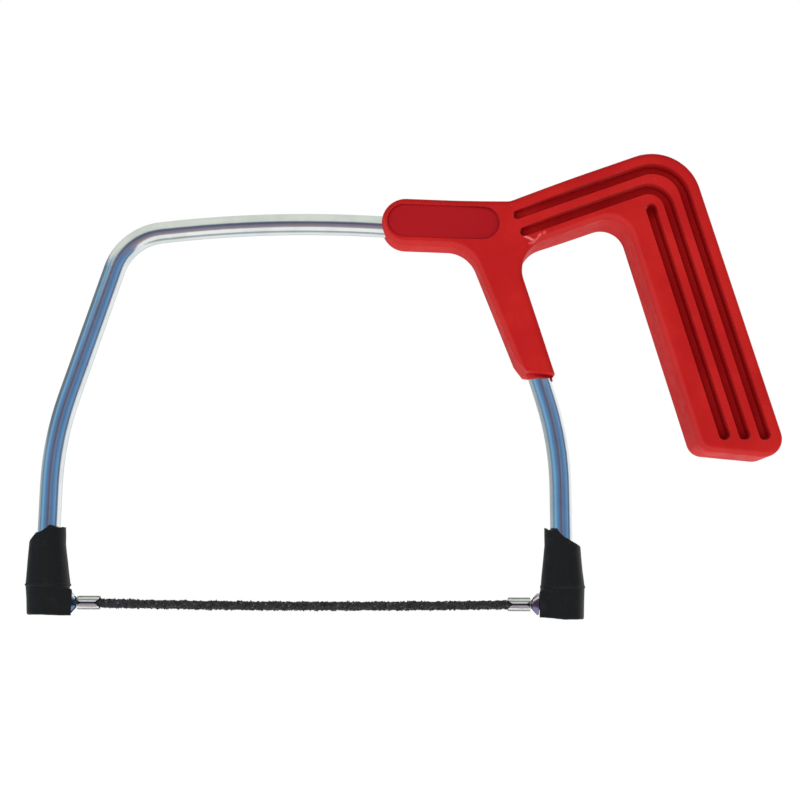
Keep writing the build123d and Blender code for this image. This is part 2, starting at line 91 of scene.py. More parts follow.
class Nodes:
    """Short calls for making and joining the nodes of one node tree."""

    def __init__(self, tree):
        self.tree = tree
        tree.nodes.clear()

    def make(self, kind, inputs=(), **settings):
        """A node with its settings, and its inputs from values or from other nodes' outputs."""
        node = self.tree.nodes.new(kind)
        for name, value in settings.items():
            setattr(node, name, value)
        self.feed(node, dict(inputs))
        return node

    def feed(self, node, inputs):
        """Sets a node's inputs, by link or by value."""
        for key, value in inputs.items():
            if isinstance(value, bpy.types.NodeSocket):
                self.tree.links.new(value, node.inputs[key])
            else:
                node.inputs[key].default_value = value

    def math(self, operation, a, b=0.0):
        return self.make("ShaderNodeMath", {0: a, 1: b}, operation=operation).outputs[0]

    def vector(self, operation, a, b=(0.0, 0.0, 0.0)):
        node = self.make("ShaderNodeVectorMath", {0: a, 1: b}, operation=operation)
        return node.outputs["Value" if operation in ("DOT_PRODUCT", "DISTANCE", "LENGTH") else "Vector"]

    def spread(self, value, low, high, to_low=0.0, to_high=1.0):
        """Value moved smoothly from the range low to high into the range to_low to to_high."""
        inputs = {"Value": value, "From Min": low, "From Max": high, "To Min": to_low, "To Max": to_high}
        node = self.make("ShaderNodeMapRange", inputs, interpolation_type="SMOOTHSTEP")
        return node.outputs["Result"]

    def even(self, value, low, high):
        """Value moved evenly from the range low to high into 0 to 1."""
        node = self.make("ShaderNodeMapRange", {"Value": value, "From Min": low, "From Max": high})
        return node.outputs["Result"]

    def mix_values(self, share, a, b):
        """A plain number between a and b."""
        kept = self.math("MULTIPLY", a, self.math("SUBTRACT", 1.0, share))
        return self.math("ADD", kept, self.math("MULTIPLY", b, share))

    def mix(self, share, a, b):
        """Colour between the colours a and b, which are the node's sockets 6 and 7."""
        node = self.make("ShaderNodeMix", data_type="RGBA")
        self.feed(node, {0: share, 6: a, 7: b})
        return node.outputs[2]

    def ramp(self, value, stops):
        """Colour from (place, colour) stops."""
        node = self.make("ShaderNodeValToRGB", {"Fac": value})
        ramp = node.color_ramp
        while len(ramp.elements) < len(stops):
            ramp.elements.new(1.0)
        for element, (place, colour) in zip(ramp.elements, stops):
            element.position = place
            element.color = colour
        return node.outputs["Color"]

    def noise(self, place, scale, detail=3.0, roughness=0.5):
        """Clouds from 0 to 1, scale of them to a metre."""
        inputs = {"Vector": place, "Scale": scale, "Detail": detail, "Roughness": roughness}
        return self.make("ShaderNodeTexNoise", inputs).outputs["Fac"]

    def bump(self, height, distance, strength, normal=None):
        """Normal bent by height, on top of another bent normal if one is given."""
        inputs = {"Height": height, "Distance": distance, "Strength": strength}
        if normal is not None:
            inputs["Normal"] = normal
        return self.make("ShaderNodeBump", inputs).outputs["Normal"]

    def place(self):
        """Place on the object, in metres of the shared frame."""
        return self.make("ShaderNodeTexCoord").outputs["Object"]

    def scaled(self, place, scale):
        return self.vector("MULTIPLY", place, scale)

    def finish(self, **inputs):
        """Principled surface with these inputs."""
        names = {name.replace("_", " "): value for name, value in inputs.items()}
        surface = self.make("ShaderNodeBsdfPrincipled", names)
        output = self.make("ShaderNodeOutputMaterial")
        self.tree.links.new(surface.outputs[0], output.inputs["Surface"])


def new_material(name):
    material = bpy.data.materials.new(name)
    material.use_nodes = True
    return material, Nodes(material.node_tree)


# ---------------------------------------------------------------- materials
CROWN_FOOT = ROD_HIGH.z - 22 * MM  # the bow's corners reach down to here
CROWN_FADE = 14 * MM
# the noses' painted reflection tint fades in downwards between these heights
NOSE_REFLECTION_TOP = ROD_LOW.z + 8 * MM
NOSE_REFLECTION_FULL = ROD_LOW.z + 5 * MM
# painted reflection tint on the front nose and on the rear nose
TIP_REFLECTIONS = (srgb(88, 120, 172), srgb(132, 84, 106))
# painted highlights (glints) along the noses' cones: start, end and width, in millimetres from the
# blade's middle
GLINTS = [
    ((-73.2, 2.5), (-72.3, 1.6), 0.4),
    ((71.9, 0.6), (74.0, 2.2), 0.4),
]
# a painted dark reflection on the front nose
NOSE_DARK_REFLECTION = ((-72.7, -0.3), 1.4)  # dark spot on the front nose: centre and radius
# rubbed marks on the handle: start, end, width and strength, in millimetres
SCUFFS = [
    ((46.8, 72.0), (49.3, 70.9), 0.55, 0.95),
    ((48.4, 69.8), (50.1, 70.7), 0.5, 0.45),
    ((50.1, 70.7), (51.8, 72.6), 0.5, 0.5),
    ((52.9, 73.0), (53.3, 73.4), 0.6, 0.4),
]
SCUFF_SHAKE = 1.2 * MM  # how far the scuffs' outlines wander
FRONT_FACE_FROM = -4.0 * MM  # the scuffs are on what lies in front of this
LABEL_FLOOR = 5.25 * MM  # distance of the label recess from the joint plane
LABEL_RIGHT = HANDLE_LOW.x + 43 * MM  # the recess ends before this
OCCLUSION_REACH = 4 * MM  # a little more than the width of a groove


def zinc_steel():
    """Bright zinc with drawn streaks along the rod, and painted reflections, shade and highlights on its
    noses.
    """
    material, n = new_material("zinc_steel")
    place = n.place()
    height = n.make("ShaderNodeSeparateXYZ", {0: place}).outputs["Z"]
    # streaks are drawn out along the rod
    on_crown = n.spread(height, CROWN_FOOT, CROWN_FOOT + CROWN_FADE)
    along_leg = n.scaled(place, (1.0, 1.0, 0.03))
    along_crown = n.scaled(place, (0.03, 1.0, 1.0))
    streaks = n.noise(n.mix(on_crown, along_leg, along_crown), 1400.0, 4.0, 0.6)
    clouds = n.noise(place, 160.0, 3.0)
    tone_and_reflection = n.mix(n.spread(clouds, 0.4, 0.75), srgb(236, 239, 241), srgb(226, 229, 232))
    tone_and_reflection = n.mix(n.spread(streaks, 0.45, 0.75, 0.0, 0.3), tone_and_reflection, srgb(204, 210, 218))
    # the noses: painted reflection tints, a painted dark reflection, a low side in painted shade and
    # painted highlights
    across = n.make("ShaderNodeSeparateXYZ", {0: place}).outputs["X"]
    tip_reflection = n.mix(n.spread(across, BLADE_MIDDLE.x - MM, BLADE_MIDDLE.x + MM), *TIP_REFLECTIONS)
    # a painted dark reflection on the front nose
    (dark_x, dark_z), dark_r = NOSE_DARK_REFLECTION
    dark_place = BLADE_MIDDLE + Vector((dark_x, 0, dark_z)) * MM
    dark_reflection = stroke(n, place, dark_place, dark_place + 0.1 * MM * UP, dark_r * MM)
    tip_reflection = n.mix(dark_reflection, tip_reflection, srgb(52, 74, 84))
    # the low side of the noses gets painted shade
    low_side = n.spread(height, BLADE_MIDDLE.z - 0.4 * MM, BLADE_MIDDLE.z - 1.6 * MM, 0.0, 0.8)
    tip_reflection = n.mix(low_side, tip_reflection, srgb(116, 126, 170))
    # painted highlights along the noses' cones
    for start, end, width in GLINTS:
        line = [BLADE_MIDDLE + Vector((x, 0, z)) * MM for x, z in (start, end)]
        tip_reflection = n.mix(stroke(n, place, *line, width * MM), tip_reflection, srgb(250, 252, 252))
    # the painted reflection tints cover the noses
    near_tip = n.spread(height, NOSE_REFLECTION_TOP, NOSE_REFLECTION_FULL, 0.0, 0.95)
    tone_and_reflection = n.mix(near_tip, tone_and_reflection, tip_reflection)
    roughness = n.spread(streaks, 0.3, 0.8, 0.08, 0.2)
    normal = n.bump(streaks, 0.02 * MM, 0.35)
    n.finish(Base_Color=tone_and_reflection, Metallic=1.0, Roughness=roughness, Normal=normal)
    return material


def edge_share(n, radius):
    """1 on edges sharper than radius and 0 on flats."""
    soft = n.make("ShaderNodeBevel", {"Radius": radius}, samples=4).outputs["Normal"]
    true_normal = n.make("ShaderNodeNewGeometry").outputs["Normal"]
    return n.spread(n.vector("DOT_PRODUCT", soft, true_normal), 0.995, 0.86)


def stroke(n, place, start, end, width):
    """1 on the line from start to end, seen along Y, and 0 at width from it."""
    run = end - start
    from_start = n.vector("SUBTRACT", n.scaled(place, (1.0, 0.0, 1.0)), tuple(start))
    share = n.math("DIVIDE", n.vector("DOT_PRODUCT", from_start, tuple(run)), run.length_squared)
    share = n.math("MAXIMUM", n.math("MINIMUM", share, 1.0), 0.0)
    along = n.make("ShaderNodeVectorMath", {0: tuple(run), "Scale": share}, operation="SCALE")
    gap = n.vector("LENGTH", n.vector("SUBTRACT", from_start, along.outputs["Vector"]))
    return n.spread(gap, width, 0.4 * width)


def scuff_marks(n, place):
    """Rubbed, slightly raised marks beside the crotch of the handle."""
    ragged = n.noise(place, 900.0, 3.0, 0.7)
    shaken = n.make("ShaderNodeTexNoise", {"Vector": place, "Scale": 700.0}).outputs["Color"]
    shift = n.scaled(n.vector("SUBTRACT", shaken, (0.5, 0.5, 0.5)), (SCUFF_SHAKE, 0.0, SCUFF_SHAKE))
    moved = n.vector("ADD", place, shift)
    marks = 0.0
    for start, end, width, strength in SCUFFS:
        line = stroke(n, moved, handle_point(*start), handle_point(*end), width * MM)
        marks = n.math("MAXIMUM", marks, n.math("MULTIPLY", line, strength))
    depth = n.make("ShaderNodeSeparateXYZ", {0: place}).outputs["Y"]
    on_front = n.spread(depth, FRONT_FACE_FROM, FRONT_FACE_FROM - 0.5 * MM)
    return n.math("MULTIPLY", n.math("MULTIPLY", marks, n.spread(ragged, 0.3, 0.5)), on_front)


def label_share(n, place):
    """1 on the floor of the label recess."""
    parts = n.make("ShaderNodeSeparateXYZ", {0: place})
    depth = n.math("ABSOLUTE", parts.outputs["Y"])
    not_under = n.spread(depth, LABEL_FLOOR - 0.2 * MM, LABEL_FLOOR - 0.1 * MM)
    not_over = n.spread(depth, LABEL_FLOOR + 0.25 * MM, LABEL_FLOOR + 0.1 * MM)
    deep = n.math("MULTIPLY", not_under, not_over)
    on_arm = n.spread(parts.outputs["X"], LABEL_RIGHT + MM, LABEL_RIGHT - MM)
    normal = n.make("ShaderNodeNewGeometry").outputs["True Normal"]
    facing = n.math("ABSOLUTE", n.make("ShaderNodeSeparateXYZ", {0: normal}).outputs["Y"])
    return n.math("MULTIPLY", n.math("MULTIPLY", deep, on_arm), n.spread(facing, 0.9, 0.97))


def edge_highlight_share(n):
    """1 on the rounded edges that face down or to the left, where they get a painted highlight."""
    normal = n.make("ShaderNodeNewGeometry").outputs["Normal"]
    facing = n.math("ABSOLUTE", n.make("ShaderNodeSeparateXYZ", {0: normal}).outputs["Y"])
    tilted = n.math("MULTIPLY", n.spread(facing, 0.97, 0.86), n.spread(facing, 0.1, 0.5))
    left_and_down = n.vector("DOT_PRODUCT", normal, (-0.6, 0.0, -0.8))
    return n.math("MULTIPLY", tilted, n.spread(left_and_down, 0.1, 0.4))


def red_plastic():
    """Moulded plastic: faint flow clouds, fine grain, painted shade in the grooves, a darker label
    floor, painted highlights on sharp and rounded edges, and scuffs."""
    material, n = new_material("red_plastic")
    place = n.place()
    clouds = n.noise(place, 70.0, 3.0)
    colour = n.mix(n.spread(clouds, 0.35, 0.7), srgb(194, 32, 33), srgb(204, 39, 37))
    grain = n.noise(place, 2600.0, 2.0)
    colour = n.mix(n.spread(grain, 0.5, 0.8, 0.0, 0.3), colour, srgb(150, 8, 12))
    colour = n.mix(n.math("MULTIPLY", label_share(n, place), 0.85), colour, srgb(172, 27, 35))
    specks = n.spread(n.noise(place, 1500.0, 1.0), 0.78, 0.82, 0.0, 0.4)
    colour = n.mix(specks, colour, srgb(228, 110, 100))
    scuffs = scuff_marks(n, place)
    colour = n.mix(scuffs, colour, srgb(244, 128, 128))
    # sharp edges get a painted highlight
    colour = n.mix(n.math("MULTIPLY", edge_share(n, 0.3 * MM), 0.4), colour, srgb(222, 60, 54))
    # rounded edges facing down or to the left get a painted highlight
    colour = n.mix(n.math("MULTIPLY", edge_highlight_share(n), 0.26), colour, srgb(204, 80, 76))
    # painted shade in the grooves, darkest on their left, because openness is felt towards the left
    outwards = n.make("ShaderNodeNewGeometry").outputs["Normal"]
    to_left = n.vector("NORMALIZE", n.vector("ADD", outwards, (-0.7, 0, 0.2)))
    occlusion = {"Distance": OCCLUSION_REACH, "Normal": to_left}
    openness = n.make("ShaderNodeAmbientOcclusion", occlusion, samples=8).outputs["AO"]
    colour = n.mix(n.spread(openness, 0.85, 0.35, 0.0, 0.85), colour, srgb(132, 0, 9))
    roughness = n.spread(n.noise(place, 300.0, 3.0), 0.3, 0.8, 0.36, 0.5)
    roughness = n.math("ADD", roughness, n.math("MULTIPLY", scuffs, 0.25))
    normal = n.bump(grain, 0.015 * MM, 0.5)
    normal = n.bump(n.noise(place, 260.0, 2.0), 0.05 * MM, 0.25, normal)
    normal = n.bump(scuffs, 0.1 * MM, 0.8, normal)
    refraction = n.spread(openness, 0.4, 0.9, 1.02, 1.1)  # hardly any gloss in the grooves
    n.finish(Base_Color=colour, Roughness=roughness, Normal=normal, IOR=refraction)
    return material


def black_rubber():
    """Satin rubber with fine pores and a faint dusty bloom."""
    material, n = new_material("black_rubber")
    place = n.place()
    bloom = n.spread(n.noise(place, 300.0, 5.0, 0.65), 0.5, 0.8)
    colour = n.mix(bloom, srgb(30, 31, 31), srgb(41, 42, 42))
    dust = n.spread(n.noise(place, 1800.0, 2.0), 0.7, 0.78, 0.0, 0.35)
    colour = n.mix(dust, colour, srgb(84, 86, 84))
    colour = n.mix(n.math("MULTIPLY", edge_share(n, 0.3 * MM), 0.5), colour, srgb(70, 72, 72))
    normal = n.bump(n.noise(place, 3200.0, 2.0), 0.03 * MM, 0.6)
    normal = n.bump(n.noise(place, 420.0, 3.0), 0.12 * MM, 0.3, normal)
    roughness = n.spread(bloom, 0.0, 1.0, 0.4, 0.58)
    n.finish(Base_Color=colour, Roughness=roughness, Normal=normal, IOR=1.2)
    return material


def carbide_grit():
    """Charcoal grains in brazing alloy, with a few bare bright facets."""
    material, n = new_material("carbide_grit")
    place = n.place()
    grains = n.make("ShaderNodeTexVoronoi", {"Vector": place, "Scale": 2200.0})
    shade = n.make("ShaderNodeSeparateXYZ", {0: grains.outputs["Color"]})
    colour = n.mix(shade.outputs["X"], srgb(26, 24, 29), srgb(52, 48, 50))
    bright = n.spread(shade.outputs["Y"], 0.93, 0.98)
    colour = n.mix(bright, colour, srgb(140, 134, 126))
    roughness = n.spread(bright, 0.0, 1.0, 0.6, 0.3)
    normal = n.bump(n.noise(place, 5000.0, 2.0), 0.05 * MM, 0.7)
    n.finish(Base_Color=colour, Metallic=bright, Roughness=roughness, Normal=normal)
    return material


# painted reflection bands of the ferrules' sheet by height on their round, from the bottom line up to
# the top line
REFLECTION_BANDS = [
    (-1.0, srgb(120, 122, 122)),
    (-0.86, srgb(150, 152, 150)),
    (-0.76, srgb(250, 250, 248)),
    (-0.6, srgb(246, 246, 244)),
    (-0.5, srgb(104, 108, 110)),
    (-0.4, srgb(170, 174, 176)),
    (-0.26, srgb(228, 230, 230)),
    (0.12, srgb(240, 240, 244)),
    (0.3, srgb(232, 232, 238)),
    (0.42, srgb(84, 84, 90)),
    (0.54, srgb(214, 214, 224)),
    (0.74, srgb(232, 230, 238)),
    (0.86, srgb(112, 112, 104)),
    (1.0, srgb(96, 98, 92)),
]


def rolled_sheet():
    """Bright sheet with painted reflection bands round it and the dull lines that the rolling tool
    leaves along it.
    """
    material, n = new_material("ferrule_steel")
    place = n.place()
    marks = n.noise(n.scaled(place, (0.1, 1, 1)), 3000.0, 3.0, 0.6)
    height = n.make("ShaderNodeSeparateXYZ", {0: place}).outputs["Z"]
    low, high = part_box("front_ferrule")
    wander = n.math("MULTIPLY", n.math("SUBTRACT", n.noise(place, 900.0, 2.0), 0.5), 0.35 * MM)
    share = n.even(n.math("ADD", height, wander), low.z, high.z)
    # painted reflection bands by height on the round
    colour = n.ramp(share, [((1 + level) / 2, shade) for level, shade in REFLECTION_BANDS])
    colour = n.mix(n.spread(marks, 0.5, 0.8, 0.0, 0.5), colour, srgb(150, 150, 150))
    normal = n.bump(marks, 0.02 * MM, 0.5)
    roughness = n.spread(marks, 0.3, 0.8, 0.06, 0.16)
    n.finish(Base_Color=colour, Metallic=1.0, Roughness=roughness, Normal=normal)
    return material


def bright_metal(name, light, dark, roughness, stretch):
    """Metal with rolling or turning marks that run along one way, and dull spots."""
    material, n = new_material(name)
    place = n.place()
    marks = n.noise(n.scaled(place, stretch), 3000.0, 3.0, 0.6)
    spots = n.noise(place, 900.0, 2.0)
    colour = n.mix(n.spread(marks, 0.35, 0.7), light, dark)
    colour = n.mix(n.spread(spots, 0.62, 0.75, 0.0, 0.4), colour, dark)
    varied = n.spread(spots, 0.3, 0.8, roughness, 2 * roughness)
    normal = n.bump(marks, 0.02 * MM, 0.5)
    n.finish(Base_Color=colour, Metallic=1.0, Roughness=varied, Normal=normal)
    return material


# ---------------------------------------------------------------- meshes
def object_from(name, mesh_maker, smooth=True):
    """A new object whose mesh is filled by mesh_maker(bmesh)."""
    mesh = bpy.data.meshes.new(name)
    work = bmesh.new()
    mesh_maker(work)
    bmesh.ops.recalc_face_normals(work, faces=work.faces)
    work.to_mesh(mesh)
    work.free()
    for face in mesh.polygons:
        face.use_smooth = smooth
    piece = bpy.data.objects.new(name, mesh)
    bpy.context.scene.collection.objects.link(piece)
    return piece


def rows_of(work, rings):
    """Vertices at rings of points."""
    return [[work.verts.new(point) for point in ring] for ring in rings]


def bridge(work, row, following):
    """Band of faces between two closed rows of vertices."""
    count = len(row)
    for i in range(count):
        j = (i + 1) % count
        work.faces.new((row[i], row[j], following[j], following[i]))


def tube(work, rings):
    """Closed tube through rings of points."""
    rows = rows_of(work, rings)
    for row, following in zip(rows, rows[1:]):
        bridge(work, row, following)
    work.faces.new(rows[0])
    work.faces.new(rows[-1])


def circle_points(centre, across, radius, count):
    """Points of an upright circle, of which across is the level direction."""
    turns = [2 * math.pi * i / count for i in range(count)]
    return [centre + radius * (math.cos(turn) * across + math.sin(turn) * UP) for turn in turns]


# ---------------------------------------------------------------- blade
GRIT_LOW, GRIT_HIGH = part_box("grit_coating")
WIRE_R = 1.0 * MM
EYE_R = 1.8 * MM
EYE_HALF = 0.9 * MM  # half its thickness
EYE_HOLE_R = 0.8 * MM
WIRE_INTO_EYE = 0.4 * MM
WIRE_STEPS = 60
BLADE_SAG = 0.8 * MM
GRAIN = 0.42 * MM
GRIT_BODY_R = (GRIT_HIGH.z - GRIT_LOW.z) / 2 - 0.07 * MM  # the grains rise from this
GRAIN_HEIGHT = 0.95 * MM  # of the largest grain; most are far lower
HELD_GRAIN_HEIGHT = 0.05 * MM  # pressed flat inside the ferrules
FERRULE_MOUTHS = (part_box("front_ferrule")[1].x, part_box("rear_ferrule")[0].x)
GRIT_RING_STEP = 0.14 * MM
GRIT_RING_POINTS = 44


def sagged(x):
    """Height of the blade's axis at x: level at its ends and lowest in its middle."""
    share = (x - BLADE_MIDDLE.x) / (GRIT_HIGH.x - BLADE_MIDDLE.x)
    return BLADE_MIDDLE.z - BLADE_SAG * max(0.0, 1 - share**2)


def grit_ring(x):
    """One ring of the grit rod: its radius follows cells the size of a grain."""
    ring = []
    for i in range(GRIT_RING_POINTS):
        turn = 2 * math.pi * i / GRIT_RING_POINTS
        outward = Vector((0, math.cos(turn), math.sin(turn)))
        cell_place = (Vector((x, 0, 0)) + outward * GRIT_BODY_R) / GRAIN
        nearest, second = noise.voronoi(cell_place)[0][:2]
        grain_share = min(1.0, second - nearest)
        size = 0.35 + 0.65 * noise.cell(cell_place * 0.6)
        free = FERRULE_MOUTHS[0] < x < FERRULE_MOUTHS[1]
        radius = GRIT_BODY_R + (GRAIN_HEIGHT if free else HELD_GRAIN_HEIGHT) * grain_share * size
        ring.append(Vector((x, 0, sagged(x))) + outward * radius)
    return ring


def make_grit(work):
    """Gritty rod that follows the sag."""
    length = GRIT_HIGH.x - GRIT_LOW.x
    count = round(length / GRIT_RING_STEP)
    tube(work, [grit_ring(GRIT_LOW.x + length * i / count) for i in range(count + 1)])


def make_core(work):
    """Core wire that follows the sag, with a flat round eye at each end."""
    eyes = [middle("front_anchor_pin"), middle("rear_anchor_pin")]
    start = eyes[0].x + EYE_R - WIRE_INTO_EYE
    end = eyes[1].x - EYE_R + WIRE_INTO_EYE
    rings = []
    for i in range(WIRE_STEPS + 1):
        x = start + (end - start) * i / WIRE_STEPS
        centre = Vector((x, BLADE_MIDDLE.y, sagged(x)))
        rings.append(circle_points(centre, Vector((0, 1, 0)), WIRE_R, 16))
    tube(work, rings)
    for eye in eyes:
        washer(work, eye, EYE_HOLE_R, EYE_R, EYE_HALF)


def washer(work, centre, hole_r, rim_r, half):
    """A flat ring across Y with softly rounded rims."""
    soft = 0.2 * MM
    section = [
        (hole_r, -half),
        (rim_r - soft, -half),
        (rim_r, -half + soft),
        (rim_r, half - soft),
        (rim_r - soft, half),
        (hole_r, half),
    ]
    rings = []
    for radius, y in section:
        rings.append(circle_points(centre + Vector((0, y, 0)), Vector((1, 0, 0)), radius, 32))
    rows = rows_of(work, rings)
    for row, following in zip(rows, rows[1:] + rows[:1]):
        bridge(work, row, following)


# ---------------------------------------------------------------- ferrules
SHEET = 0.4 * MM  # its thickness
SEAM_GAP = 0.4 * MM
SEAM_FLARE = 2.5 * MM
SEAM_FLARE_LENGTH = 1.5 * MM
CREASE_TURN = math.radians(33)  # creases run this far round from the seam's middle
CREASE_WIDTH = math.radians(6)
CREASE_DEPTH = 0.13 * MM
FERRULE_LIP = 0.05 * MM  # its ends are drawn in by this much
FERRULE_LIP_LENGTH = 0.4 * MM


def rolled_ferrule(node):
    """Sheet rolled round the rod's end, with a seam that flares at both ends and two creases."""
    low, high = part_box(node)
    centre = (low + high) / 2
    radius = (high.z - low.z) / 2
    steps = 40
    around = 72

    def outline(x):
        """Closed C-shaped ring of the sheet at x."""
        from_end = min(x - low.x, high.x - x)
        flare = max(0.0, 1 - from_end / SEAM_FLARE_LENGTH) ** 1.6
        half_gap = (SEAM_GAP + (SEAM_FLARE - SEAM_GAP) * flare) / 2
        start = math.asin(half_gap / radius)
        lip = FERRULE_LIP * max(0.0, 1 - from_end / FERRULE_LIP_LENGTH)
        ring_centre = Vector((x, centre.y, centre.z))
        outer = []
        inner = []
        for i in range(around + 1):
            turn = start + (2 * math.pi - 2 * start) * i / around
            from_seam = min(turn, 2 * math.pi - turn)
            crease = CREASE_DEPTH * math.exp(-(((from_seam - CREASE_TURN) / CREASE_WIDTH) ** 2))
            direction = Vector((0, -math.cos(turn), math.sin(turn)))
            outer.append(ring_centre + direction * (radius - crease - lip))
            inner.append(ring_centre + direction * (radius - SHEET))
        return outer + inner[::-1]

    def roll(work):
        rings = [outline(low.x + (high.x - low.x) * i / steps) for i in range(steps + 1)]
        rows = rows_of(work, rings)
        for row, following in zip(rows, rows[1:]):
            bridge(work, row, following)
        for row in (rows[0], rows[-1]):
            for i in range(around):
                work.faces.new((row[i], row[i + 1], row[-2 - i], row[-1 - i]))

    piece = object_from(node + "_rolled", roll)
    piece.data.set_sharp_from_angle(angle=math.radians(40))
    return piece


# ---------------------------------------------------------------- flash at the leg's end
FLASH_TOP = handle_point(54.4, 27.6)
FLASH_FOOT = handle_point(55.9, 24.2)
FLASH_HALF_WIDTH = 1.9 * MM
FLASH_THICKNESS = 0.75 * MM
FLASH_HUG = 0.9 * MM  # its sides bend round the rod by this much
FLASH_LUMP = 0.22 * MM
FLASH_LUMP_SIZE = 0.5 * MM
LEG_LEAN = math.radians(16.8)
LEG_MOUTH = handle_point(51.4, 27.0)  # where the rod's axis leaves the leg
SKIRT_START = 2.5 * MM  # how far up inside the leg it begins
SKIRT_LAYERS = (0.05 * MM, 0.75 * MM)  # its inner and outer side, from the rod
SKIRT_FROM = -85  # it runs round the rod from here, in degrees from the front
SKIRT_RUN = 185
# how far it hangs from the leg, in millimetres, by share of its run
SKIRT_DEPTHS = [(0.0, 0.1), (0.3, 0.9), (0.55, 1.6), (0.85, 1.8), (1.0, 1.2)]
SKIRT_RAGGED = 0.25 * MM


def join_layers(work, inner, outer):
    """Closed sheet from two grids of vertices, one for each of its sides."""
    last_i = len(inner) - 1
    last_j = len(inner[0]) - 1
    for i in range(last_i):
        for j in range(last_j):
            work.faces.new((inner[i][j], inner[i + 1][j], inner[i + 1][j + 1], inner[i][j + 1]))
            work.faces.new((outer[i][j], outer[i][j + 1], outer[i + 1][j + 1], outer[i + 1][j]))
    rim = [(i, 0) for i in range(last_i)] + [(last_i, j) for j in range(last_j)]
    rim += [(i, last_j) for i in range(last_i, 0, -1)] + [(0, j) for j in range(last_j, 0, -1)]
    for (a, b), (c, d) in zip(rim, rim[1:] + rim[:1]):
        work.faces.new((inner[a][b], inner[c][d], outer[c][d], outer[a][b]))


def leg_flash():
    """Ragged tongue of plastic that hangs from the rear wall of the handle's leg, beside the rod."""
    columns = 15
    rows = 12

    def sheet(work):
        layers = []
        for depth in (0.0, FLASH_THICKNESS):
            grid = []
            for i in range(columns):
                side = 2 * i / (columns - 1) - 1
                ragged = 0.62 + 0.38 * noise.noise(Vector((3.1 * side, 4.2, 0.7)))
                ragged *= 1 - 0.35 * side**2  # shorter at its sides
                line = []
                for j in range(rows):
                    share = ragged * j / (rows - 1)
                    point = FLASH_TOP.lerp(FLASH_FOOT, share)
                    hug = FLASH_HUG * side**2
                    lump_place = point / FLASH_LUMP_SIZE + Vector((side, depth, 0))
                    lump = FLASH_LUMP * noise.noise(lump_place)
                    line.append(point + Vector((depth - hug + lump, FLASH_HALF_WIDTH * side, 0)))
                grid.append([work.verts.new(point) for point in line])
            layers.append(grid)
        join_layers(work, *layers)

    return object_from("leg_flash", sheet)


def leg_skirt():
    """Thin skirt of plastic squeezed out round the front of the rod at the leg's end."""
    down = Vector((math.sin(LEG_LEAN), 0, -math.cos(LEG_LEAN)))
    right = Vector((math.cos(LEG_LEAN), 0, math.sin(LEG_LEAN)))
    front = Vector((0, -1, 0))
    columns = 48
    rows = 8

    def ring_place(share, drop, radius):
        """Point at a share of the run round the rod, drop below the leg's mouth."""
        turn = math.radians(SKIRT_FROM + SKIRT_RUN * share)
        outwards = right * math.sin(turn) + front * math.cos(turn)
        return LEG_MOUTH + down * drop + outwards * radius

    def sheet(work):
        layers = []
        for thick in SKIRT_LAYERS:
            grid = []
            for i in range(columns + 1):
                share = i / columns
                ragged = SKIRT_RAGGED * noise.noise(Vector((9 * share, 1.3, 5.1)))
                depth = between(SKIRT_DEPTHS, share) * MM + ragged
                line = []
                for j in range(rows + 1):
                    fall = j / rows
                    radius = ROD_R + thick * (1 - 0.55 * fall)  # thinner towards its edge
                    drop = -SKIRT_START * (1 - fall) + depth * fall
                    line.append(work.verts.new(ring_place(share, drop, radius)))
                grid.append(line)
            layers.append(grid)
        join_layers(work, *layers)

    return object_from("leg_skirt", sheet)


# ---------------------------------------------------------------- boots
BOOT_VOXEL = 0.22 * MM
COLLAR_R = 5.7 * MM
BOOT_INSIDE_R = 4.0 * MM  # what lies more than WALL_FADE beyond this belongs to the walls
WALL_FADE = 1.0 * MM
BOOT_WAVE = 0.1 * MM
BOOT_WAVE_SIZE = 5 * MM
BOOT_TOP_FALL = 5.3 * MM  # how much lower the outer side of the oblique top is
BOOT_TOP_REACH = 1.6 * MM  # how far down from the top edge its shape is felt
BOOT_RAGGED = 0.16 * MM
BOOT_RAGGED_SIZE = 0.8 * MM
BACK_LIFT = 0.35  # share of the top edge's lifts that is left at the back
SEAT_REACH = 2.4 * MM
SEAT_WEAR = 0.09 * MM
SEAT_WEAR_SIZE = 2.2 * MM
MOULD_LINE_UP = 0.33  # height of the mould line as a share of the boot's
MOULD_LINE_FADE = 0.04
MOUTH_FROM = 3 * MM  # the mouth begins this far from the leg's axis
MOUTH_FADE = 2 * MM
MOUTH_HALF = 4.5 * MM
# lift of the top edge above a plane cut, in millimetres, by share of the width from the inner side
FRONT_TOP_LIFTS = [
    (0.0, -0.2),
    (0.12, 0.0),
    (0.32, 1.95),
    (0.56, 1.1),
    (0.7, 1.55),
    (0.82, 0.9),
    (1.0, 0.0),
]
REAR_TOP_LIFTS = [
    (0.0, 0.3),
    (0.15, -0.3),
    (0.2, 1.05),
    (0.4, 0.3),
    (0.5, -0.25),
    (0.75, -0.45),
    (1.0, -0.6),
]


def copy_of(node, name):
    """A new object with a copy of a node's mesh."""
    piece = bpy.data.objects.new(name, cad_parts[node].data.copy())
    piece.data.materials.clear()
    bpy.context.scene.collection.objects.link(piece)
    return piece


def apply_modifiers(piece):
    """Replaces the piece's mesh by what its modifiers make of it."""
    graph = bpy.context.evaluated_depsgraph_get()
    made = bpy.data.meshes.new_from_object(piece.evaluated_get(graph))
    piece.modifiers.clear()
    piece.data = made


